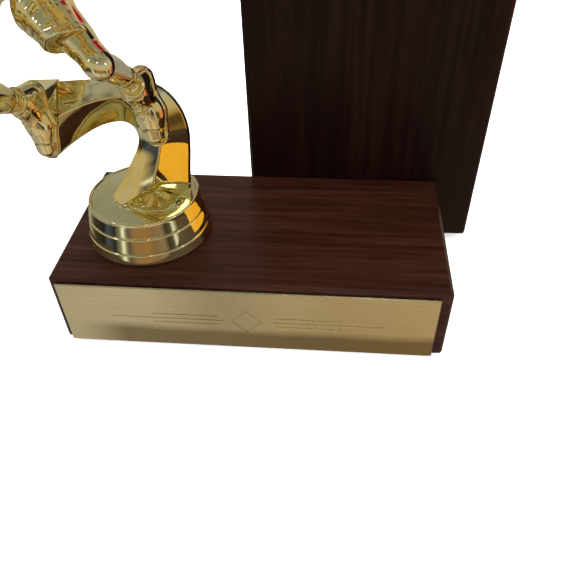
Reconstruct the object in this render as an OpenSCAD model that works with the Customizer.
// Bowling trophy: a wooden block with a name plate, an upright back board behind it,
// and a bright plated bowler leaping off a curled arch on a round figure base.
// Frame: origin at the middle of the resting face, X to the right, Y to the back, Z up. Units are mm.

/* [Wooden block] */
// Width of the block, left to right
block_w = 152.4; // [120:0.1:200]
// Depth of the block, front to back
block_d = 75; // [60:0.5:110]
// Height of the block's top face above the table
block_h = 34; // [20:0.5:60]
// Chamfer on the block's edges
block_c = 1.4; // [0.5:0.1:4]
// Thickness of the felt under the block
felt_t = 1; // [0.5:0.1:3]
// Inset of the felt from the block's sides
felt_inset = 3; // [1:0.5:10]

/* [Back board] */
// Width of the board
board_w = 101.5; // [70:0.5:140]
// Thickness of the board
board_t = 19; // [12:0.5:25]
// Height of the board's top edge above the table
board_top = 228.6; // [150:0.1:300]
// Gap between the table and the board's lower edge
board_lift = 3.5; // [0:0.5:10]
// Distance from the block's centre to the board's centre, to the right
board_x = 43.2; // [-40:0.1:60]
// Chamfer on the board's edges
board_c = 1.3; // [0.5:0.1:4]

/* [Board screws] */
// Distance between the two screws
screw_gap = 52; // [30:1:70]
// Height of the screws above the table
screw_z = 18; // [10:1:26]
// Length of a screw with its head
screw_len = 44; // [30:1:55]
// Outside radius of the thread
screw_r = 2.1; // [1.5:0.05:3]
// Radius of the head
screw_head_r = 4.1; // [3:0.1:5]

/* [Name plate] */
// Width of the plate
plate_w = 145.5; // [100:0.5:150]
// Height of the plate
plate_h = 30.4; // [15:0.1:32]
// Thickness of the plate
plate_t = 0.9; // [0.4:0.05:2]
// Thickness of the adhesive sheet behind it
glue_t = 0.3; // [0.1:0.05:1]
// How far the plate's middle sits left of the block's middle
plate_shift = 0.9; // [0:0.1:4]
// Height of the plate's middle above the table
plate_z = 16.6; // [12:0.1:20]
// Width of an engraved line
line_w = 0.4; // [0.2:0.05:1]
// Depth of an engraved line
line_t = 0.15; // [0.05:0.05:0.4]

/* [Figure base] */
// Position of the round base, left or right of the block's middle
fig_x = -43.7; // [-60:0.1:60]
// Position of the round base, front or back of the block's middle
fig_y = -4.6; // [-12:0.1:12]
// Turn of the figure about its rod, degrees
fig_turn = 16.5; // [-180:0.5:180]
// Radius at the foot of the round base
skirt_r1 = 25.2; // [20:0.1:30]
// Radius at the top of the round base
skirt_r2 = 21.25; // [15:0.05:25]
// Height of the round base
skirt_h = 17.6; // [12:0.1:25]
// Wall of the round base
skirt_wall = 1.6; // [1:0.1:3]
// Thickness of the top disc
disc_t = 1.6; // [1:0.1:3]
// Radius of the moulded boss inside
boss_r = 6.5; // [5:0.1:9]
// Radius of the threaded insert
insert_r = 4; // [3.5:0.1:5]

/* [Rod and nut] */
// Radius of the threaded rod
rod_r = 3; // [2:0.05:4]
// Thread pitch
rod_pitch = 1.27; // [0.8:0.01:2]
// Width across the flats of the nut
nut_af = 11.1; // [8:0.1:14]
// Height of the nut
nut_h = 5.4; // [3:0.1:8]
// Radius of the washer
washer_r = 9; // [7:0.1:10]
// Thickness of the washer
washer_t = 1.4; // [0.8:0.1:2.5]
// Depth of the pocket under the block
pocket_d = 10; // [8:0.5:15]
// Radius of the pocket under the block
pocket_r = 10; // [8:0.5:13]

/* [Figure pose, from the round base's axis and the block's top] */
// Left hip
hip_l = [-16.5, -13, 102];
// Right hip
hip_r = [-32.5, -13, 102];
// Left knee
knee_l = [-1.3, -47, 88.4];
// Right knee
knee_r = [-41, -46, 83.5];
// Left ankle
ankle_l = [4.2, -12.4, 68.3];
// Right ankle
ankle_r = [-31, -14, 66];
// Middle of the chest
chest = [-23.5, -25, 123];
// Left shoulder
shoulder_l = [-6, -37, 136];
// Right shoulder
shoulder_r = [-39, -38, 134];
// Middle of the head
head_c = [-21.5, -52, 154];
// Left elbow
elbow_l = [17, -42, 128];
// Left wrist
wrist_l = [36, -52, 138];
// Right elbow
elbow_r = [-56, -20, 123];
// Right wrist
wrist_r = [-69, -1, 117];
// Radius of the bowling ball
ball_r = 10.2; // [7:0.1:12]

/* [Quality] */
// Facets of a full round
round_n = 96; // [48:8:160]
// Facets of a sphere inside a hull
ball_n = 20; // [12:2:32]
// Steps between two stations of the arch
arch_steps = 5; // [2:1:8]

/* [Hidden] */
gold = [0.83, 0.68, 0.28];
front_y = -block_d / 2;
back_y = block_d / 2;

// ---------- helpers ----------
module chrect(w, h, c) {
  polygon([[-w/2+c, -h/2], [w/2-c, -h/2], [w/2, -h/2+c], [w/2, h/2-c],
           [w/2-c, h/2], [-w/2+c, h/2], [-w/2, h/2-c], [-w/2, -h/2+c]]);
}
// box centred in X and Y, standing on z = 0, all edges chamfered
module chamfer_box(w, d, h, c) {
  intersection() {
    linear_extrude(height = h) chrect(w, d, c);
    translate([0, d/2, h/2]) rotate([90, 0, 0]) linear_extrude(height = d) chrect(w, h, c);
    translate([-w/2, 0, h/2]) rotate([90, 0, 90]) linear_extrude(height = w) chrect(d, h, c);
  }
}
module in_figure() {
  translate([fig_x, fig_y, block_h]) rotate([0, 0, fig_turn]) children();
}
function unit(v) = v / norm(v);
module ball(p, r) { translate(p) sphere(r = r, $fn = ball_n); }
// tapered limb between two points
module limb(a, ra, b, rb) { hull() { ball(a, ra); ball(b, rb); } }
// rod with a thread profile along +Z
module thread(r, len, pitch, depth) {
  n = floor((len - 2) / pitch);
  pts = [for (i = [0:n-1]) each [[r - depth, 1 + i*pitch], [r, 1 + (i + 0.5)*pitch]]];
  rotate_extrude($fn = round_n)
    polygon(concat([[0, 0], [r - depth, 0]], pts, [[r - depth, 1 + n*pitch], [r - depth, len], [0, len]]));
}

// ---------- wood ----------
module base_block() {
  color([0.24, 0.15, 0.12]) difference() {
    translate([0, 0, felt_t]) chamfer_box(block_w, block_d, block_h - felt_t, block_c);
    translate([fig_x, fig_y, 0]) cylinder(r = rod_r + 0.4, h = block_h + 1, $fn = round_n);
    translate([fig_x, fig_y, 0]) cylinder(r = pocket_r, h = felt_t + pocket_d, $fn = round_n);
    for (s = [-1, 1]) translate([board_x - 8 + s*screw_gap/2, back_y + 1, screw_z]) rotate([90, 0, 0])
      cylinder(r = screw_r + 0.02, h = screw_len - board_t + 2, $fn = 48);
  }
}
module base_felt() {
  color([0.06, 0.12, 0.08]) linear_extrude(height = felt_t)
    chrect(block_w - 2*felt_inset, block_d - 2*felt_inset, 2);
}
module back_board() {
  color([0.12, 0.07, 0.06]) difference() {
    translate([board_x, back_y + board_t/2, board_lift])
      chamfer_box(board_w, board_t, board_top - board_lift, board_c);
    for (s = [-1, 1]) translate([board_x - 8 + s*screw_gap/2, back_y + board_t, screw_z]) rotate([90, 0, 0]) {
      translate([0, 0, -1]) cylinder(r = screw_r + 0.2, h = board_t + 2, $fn = 48);
      cylinder(r1 = screw_head_r + 0.1, r2 = screw_r + 0.2, h = 3, $fn = 48);
    }
  }
}
module one_screw() {
  difference() {
    union() {
      cylinder(r1 = screw_head_r, r2 = screw_r, h = 3, $fn = 48);
      translate([0, 0, 3]) cylinder(r = screw_r - 0.1, h = board_t - 3, $fn = 48);
      translate([0, 0, board_t]) thread(screw_r, screw_len - board_t - 3, 1.8, 0.6);
      translate([0, 0, screw_len - 3]) cylinder(r1 = screw_r - 0.6, r2 = 0.2, h = 3, $fn = 48);
    }
    for (a = [0, 90]) rotate([0, 0, a]) translate([-2.1, -0.45, -0.1]) cube([4.2, 0.9, 1.7]);
  }
}
module board_screws() {
  color([0.72, 0.68, 0.55]) for (s = [-1, 1])
    translate([board_x - 8 + s*screw_gap/2, back_y + board_t, screw_z]) rotate([90, 0, 0]) one_screw();
}

// ---------- name plate ----------
module name_plate() {
  color([0.78, 0.68, 0.42]) difference() {
    translate([-plate_shift, front_y - glue_t - plate_t/2, plate_z - plate_h/2])
      chamfer_box(plate_w, plate_t, plate_h, 0.4);
    // generic line ornament, cut into the face
    translate([-plate_shift, front_y - glue_t - plate_t + line_t, plate_z]) rotate([90, 0, 0])
      linear_extrude(height = 1) {
        difference() { circle(r = 6, $fn = 4); circle(r = 6 - line_w*1.4, $fn = 4); }
        for (s = [-1, 1]) {
          translate([s*31, 0]) square([44, line_w], center = true);
          translate([s*24, 2.2]) square([26, line_w], center = true);
          translate([s*24, -2.2]) square([26, line_w], center = true);
        }
      }
  }
}
module plate_adhesive() {
  color([0.85, 0.83, 0.76]) translate([-plate_shift, front_y - glue_t/2, plate_z]) rotate([90, 0, 0])
    translate([0, 0, -glue_t/2]) linear_extrude(height = glue_t) chrect(plate_w - 2, plate_h - 2, 0.5);
}

// ---------- round base and its fixing ----------
module figure_skirt() {
  g = 0.35;
  // outside slope of the side at height z
  function rr(z) = skirt_r1 + (skirt_r2 - skirt_r1) * z / skirt_h;
  color(gold) in_figure() rotate_extrude($fn = round_n) polygon([
    [rr(0) - skirt_wall - 1.2, 0], [rr(0) - 0.4, 0], [rr(0), 0.5], [rr(4.7), 4.7],
    [rr(4.7) - g, 5], [rr(5.3), 5.4], [rr(11.2), 11.2], [rr(11.2) - g, 11.5], [rr(11.9), 11.9],
    [rr(16.6), 16.6], [skirt_r2 + 0.15, 17.1], [skirt_r2 - 0.1, skirt_h], [skirt_r2 - 0.8, skirt_h],
    [skirt_r2 - 0.95, skirt_h - 0.35], [skirt_r2 - 0.95, skirt_h - disc_t - 0.3],
    [skirt_r2 - 2.6, skirt_h - disc_t - 0.3], [skirt_r2 - 2.6, skirt_h - disc_t - 1.5]]);
}
module figure_disc() {
  z0 = skirt_h - 0.3;
  color(gold) in_figure() difference() {
    union() {
      translate([0, 0, z0 - disc_t]) cylinder(r = skirt_r2 - 1, h = disc_t, $fn = round_n);
      translate([0, 0, 1.5]) cylinder(r = boss_r, h = z0 - 1.6, $fn = round_n);
      for (a = [0:60:300]) rotate([0, 0, a]) translate([boss_r - 1, -0.6, 9]) cube([10, 1.2, z0 - 9.4]);
    }
    translate([0, 0, 0]) cylinder(r = insert_r, h = 14.6, $fn = round_n);
  }
}
module rod_insert() {
  color([0.75, 0.62, 0.3]) in_figure() difference() {
    union() {
      translate([0, 0, 1.6]) cylinder(r = insert_r, h = 12.9, $fn = round_n);
      translate([0, 0, 0.6]) cylinder(r = insert_r + 1.5, h = 0.9, $fn = round_n);
      translate([0, 0, 0.9]) cylinder(r = insert_r, h = 1, $fn = round_n);
    }
    translate([0, 0, -1]) cylinder(r = rod_r + 0.02, h = 17, $fn = round_n);
  }
}
module threaded_rod() {
  color([0.6, 0.6, 0.62]) in_figure()
    translate([0, 0, -31.5]) thread(rod_r, 45, rod_pitch, 0.5);
}
module washer() {
  color([0.65, 0.65, 0.67]) translate([fig_x, fig_y, felt_t + pocket_d - washer_t]) difference() {
    cylinder(r = washer_r, h = washer_t, $fn = round_n);
    translate([0, 0, -1]) cylinder(r = rod_r + 0.3, h = washer_t + 2, $fn = round_n);
  }
}
module hex_nut() {
  color([0.62, 0.62, 0.64]) translate([fig_x, fig_y, felt_t + pocket_d - washer_t - nut_h]) difference() {
    intersection() {
      cylinder(r = nut_af / sqrt(3), h = nut_h, $fn = 6);
      cylinder(r1 = nut_af/2 + 0.3, r2 = nut_af/2 + 0.3 + nut_h, h = nut_h, $fn = 48);
      cylinder(r2 = nut_af/2 + 0.3, r1 = nut_af/2 + 0.3 + nut_h, h = nut_h, $fn = 48);
    }
    translate([0, 0, -1]) cylinder(r = rod_r + 0.02, h = nut_h + 2, $fn = round_n);
  }
}

// ---------- curled arch ----------
// stations from the foot to the free end: outer edge, inner edge, ridge, ridge depth, inner bevel depth
arch = [
  [[18.5, 17.3], [-11.8, 17.3], [4, 17.3], 8.6, 6.4],
  [[19.6, 27], [-6.8, 24.3], [4.8, 26], 8.3, 4.6],
  [[20.7, 36], [-2.6, 31], [7.4, 34], 8.1, 3.6],
  [[20.9, 44], [0.8, 36.5], [9.4, 41.5], 8, 3.3],
  [[18.8, 52], [2.1, 41], [9, 49], 7.9, 3.2],
  [[14, 59], [1.2, 45.5], [6.4, 56], 7.8, 3.2],
  [[6, 63.3], [-2.5, 48.3], [0.9, 60.4], 7.8, 3.2],
  [[-4, 64.4], [-9.5, 47.6], [-7.3, 60.6], 7.8, 3.2],
  [[-12, 64.8], [-18.5, 43.3], [-14.5, 59.2], 7.8, 3],
  [[-19.5, 65.2], [-26.6, 38.2], [-21.2, 56.8], 7.8, 2.6]];
function cr(a, b, c, d, t) = 0.5 * ((2*b) + (c - a)*t + (2*a - 5*b + 4*c - d)*t*t + (3*b - a - 3*c + d)*t*t*t);
function st(i) = arch[max(0, min(len(arch) - 1, i))];
function sect(i, t) = [for (k = [0:4]) cr(st(i-1)[k], st(i)[k], st(i+1)[k], st(i+2)[k], t)];
arch_path = concat([for (i = [0:len(arch)-2]) for (j = [0:arch_steps-1]) sect(i, j / arch_steps)], [st(len(arch)-1)]);
// five points of one half of a section; s is -1 in front, +1 behind
function ring(q, s, f) = let (o = q[0], n = q[1], r = q[2], oc = o + 0.1*(n - o), nb = n + 0.11*(o - n)) [
  [o[0], 0, o[1]], [oc[0], s*f*q[3]*0.24, oc[1]], [r[0], s*f*q[3], r[1]],
  [nb[0], s*f*q[4], nb[1]], [n[0], 0, n[1]]];
module arch_half(s, f) {
  m = len(arch_path);
  pts = [for (q = arch_path) each ring(q, s, f)];
  side = [for (i = [0:m-2]) for (k = [0:4]) let (a = i*5 + k, b = i*5 + (k + 1) % 5)
    each [[a, b, b + 5], [a, b + 5, a + 5]]];
  caps = [for (k = [1:3]) each [[0, k + 1, k], [(m-1)*5, (m-1)*5 + k, (m-1)*5 + k + 1]]];
  all = concat(side, caps);
  polyhedron(points = pts, faces = s > 0 ? [for (t = all) [t[0], t[2], t[1]]] : all, convexity = 6);
}
// flared end block that the right shoe stands on
module arch_end() {
  hull() polyhedron(points = [[-19.3, 2, 65.1], [-26, -9, 65], [-29, -9.6, 64.8], [-34, 1, 64.4], [-30, 4.5, 64.8],
    [-26.4, 1, 38.4], [-27.2, -4.5, 39.4], [-29.2, -4.6, 40], [-31, 0.5, 41], [-28, 3, 39]],
    faces = [[0, 1, 2, 3, 4], [9, 8, 7, 6, 5], [0, 5, 6, 1], [1, 6, 7, 2], [2, 7, 8, 3], [3, 8, 9, 4], [4, 9, 5, 0]]);
}
module arch_front_solid() {
  difference() {
    union() {
      arch_half(-1, 1);
      intersection() { arch_end(); translate([-60, -40, 0]) cube([80, 40, 100]); }
    }
    // pocket between the two splayed edges at the foot
    hull() polyhedron(points = [[4.8, -8.6, 27.5], [-7.4, -6.7, 16], [14.2, -3, 16], [3.5, -1.5, 16], [3, -20, 16],
      [4, -14, 27]], faces = [[0, 1, 3], [0, 3, 2], [0, 2, 5], [0, 5, 1], [1, 5, 4], [2, 4, 5], [1, 4, 2, 3]]);
  }
}
module arch_front() { color(gold) in_figure() arch_front_solid(); }
module arch_rear() {
  color(gold) in_figure() union() {
    arch_half(1, 0.8);
    intersection() { arch_end(); translate([-60, 0, 0]) cube([80, 40, 100]); }
  }
}

// ---------- bowler ----------
// shoe frame: X to the toe, Z from the sole to the ankle, origin at the ankle
module shoe_frame(at, toe, up) {
  x = unit(toe); y = unit(cross(up, x)); z = cross(x, y);
  multmatrix([[x[0], y[0], z[0], at[0]], [x[1], y[1], z[1], at[1]], [x[2], y[2], z[2], at[2]], [0, 0, 0, 1]]) children();
}
module shoe() {
  // sole, heel and upper
  hull() {
    translate([-0.6, 0, -8.2]) cylinder(r = 3.4, h = 1.5, $fn = 24);
    translate([11, 0.5, -8.2]) cylinder(r = 4.6, h = 1.5, $fn = 24);
    translate([17.8, 0.2, -8.2]) cylinder(r = 3.8, h = 1.5, $fn = 24);
  }
  hull() { ball([-0.6, 0, -4], 3.3); ball([-0.8, 0, 0], 3.1); ball([3.4, 0, -3.6], 3.7); ball([2.2, 0, -0.2], 3.1); }
  hull() { ball([3.4, 0, -3.6], 3.7); ball([2.2, 0, -0.2], 3.1); ball([11, 0.4, -4.6], 4); ball([17.8, 0.2, -5.3], 3.2); }
}
toe_l = [0.06, -0.15, -0.98];
up_l = [-0.5, -0.85, 0.1];
toe_r = [0.06, -0.06, -1];
up_r = [-0.58, -0.81, 0];
module shoe_l_solid() { shoe_frame(ankle_l, toe_l, up_l) shoe(); }
module shoe_r_solid() { shoe_frame(ankle_r, toe_r, up_r) shoe(); }
module shoe_left() { color(gold) in_figure() difference() { shoe_l_solid(); arch_front_solid(); } }
module shoe_right() { color(gold) in_figure() difference() { shoe_r_solid(); arch_front_solid(); } }

module leg(hip, knee, ankle) {
  calf = ankle + (knee - ankle)*0.64 + [0, 1.4, -1.4];
  limb(hip, 6.4, knee, 4.6);
  limb(knee, 4.5, calf, 4.5);
  limb(calf, 4.5, ankle, 2.8);
}
module shorts_solid() {
  hem_l = hip_l + (knee_l - hip_l)*0.76;
  hem_r = hip_r + (knee_r - hip_r)*0.76;
  mid = (hip_l + hip_r)/2;
  limb(hip_l, 8.2, hem_l, 6.9);
  limb(hip_r, 8.2, hem_r, 6.9);
  hull() { ball(hip_l, 8); ball(hip_r, 8); ball(mid + [4.5, 0, 7], 7.6); ball(mid + [-4.5, 0, 7], 7.6); }
}
module leg_left() {
  color(gold) in_figure() difference() {
    leg(hip_l, knee_l, ankle_l);
    shorts_solid(); shoe_l_solid();
  }
}
module leg_right() {
  color(gold) in_figure() difference() {
    leg(hip_r, knee_r, ankle_r);
    shorts_solid(); shoe_r_solid();
  }
}
module shirt_solid() {
  mid = (hip_l + hip_r)/2;
  hull() { ball(mid + [4, 0, 6.5], 8); ball(mid + [-4, 0, 6.5], 8); ball(chest + [6.5, 1, 0], 9.4); ball(chest + [-6.5, 1, 0], 9.4); }
  hull() { ball(chest + [6.5, 1, 0], 9.4); ball(chest + [-6.5, 1, 0], 9.4); ball(shoulder_l + [-1.5, 0, -1], 6.2); ball(shoulder_r + [1.5, 0, -1], 6.2); }
  limb(shoulder_l + [-2, 0, -1], 6, shoulder_l + (elbow_l - shoulder_l)*0.55, 5.2);
  limb(shoulder_r + [2, 0, -1], 6, shoulder_r + (elbow_r - shoulder_r)*0.55, 5.2);
}
module shorts() { color(gold) in_figure() difference() { shorts_solid(); shirt_solid(); } }
module head_solid() {
  limb((shoulder_l + shoulder_r)/2 + [0, -2, 2], 4.8, head_c + [0, 3, -5], 4.3);
  hull() {
    ball(head_c + [0, 0.8, 3], 8);
    ball(head_c + [0, -1.6, -4.8], 6);
    ball(head_c + [0, -4, -8.2], 3.4);
  }
}
module hair_solid() {
  difference() {
    hull() { ball(head_c + [0, 1.6, 3.9], 8.4); ball(head_c + [0, 4.2, -1], 7); }
    translate(head_c + [-12, -14.6, -16]) cube([24, 13, 22]);
  }
}
module shirt() { color(gold) in_figure() difference() { shirt_solid(); head_solid(); } }
module head() { color(gold) in_figure() difference() { head_solid(); hair_solid(); } }
module hair() { color(gold) in_figure() hair_solid(); }

module arm(sh, el, wr, dir) {
  limb(sh, 4.4, el, 3.5);
  limb(el, 3.5, wr, 2.4);
  hull() { ball(wr, 2.4); ball(wr + dir*6, 3); }
  limb(wr + dir*6, 2.9, wr + dir*11, 1.9);
}
ball_c = wrist_r + [-8, 6.5, -10.5];
// ball frame: X away from the palm, so that the sphere's seam stays clear of the finger holes
module ball_frame() {
  d = unit(ball_c - wrist_r);
  translate(ball_c) rotate([0, 0, atan2(d[1], d[0])]) rotate([0, -asin(d[2]), 0]) children();
}
module ball_solid() { ball_frame() sphere(r = ball_r, $fn = round_n); }
module arm_left() {
  color(gold) in_figure() difference() {
    arm(shoulder_l, elbow_l, wrist_l, unit([0.8, -0.55, 0.2]));
    shirt_solid();
  }
}
module arm_right() {
  color(gold) in_figure() difference() {
    arm(shoulder_r, elbow_r, wrist_r, unit([-0.62, 0.5, -0.6]));
    shirt_solid(); ball_solid();
  }
}
module bowling_ball() {
  color(gold) in_figure() difference() {
    ball_solid();
    // three finger holes
    ball_frame() for (a = [[112, 10], [142, 22], [142, -2]]) rotate([0, 0, a[0]]) rotate([0, a[1], 0])
      translate([ball_r - 2, 0, 0]) rotate([0, 90, 0]) cylinder(r = 1, h = 4, $fn = 32);
  }
}

base_block();
base_felt();
back_board();
board_screws();
name_plate();
plate_adhesive();
figure_skirt();
figure_disc();
rod_insert();
threaded_rod();
washer();
hex_nut();
arch_front();
arch_rear();
shoe_left();
shoe_right();
leg_left();
leg_right();
shorts();
shirt();
arm_left();
arm_right();
head();
hair();
bowling_ball();
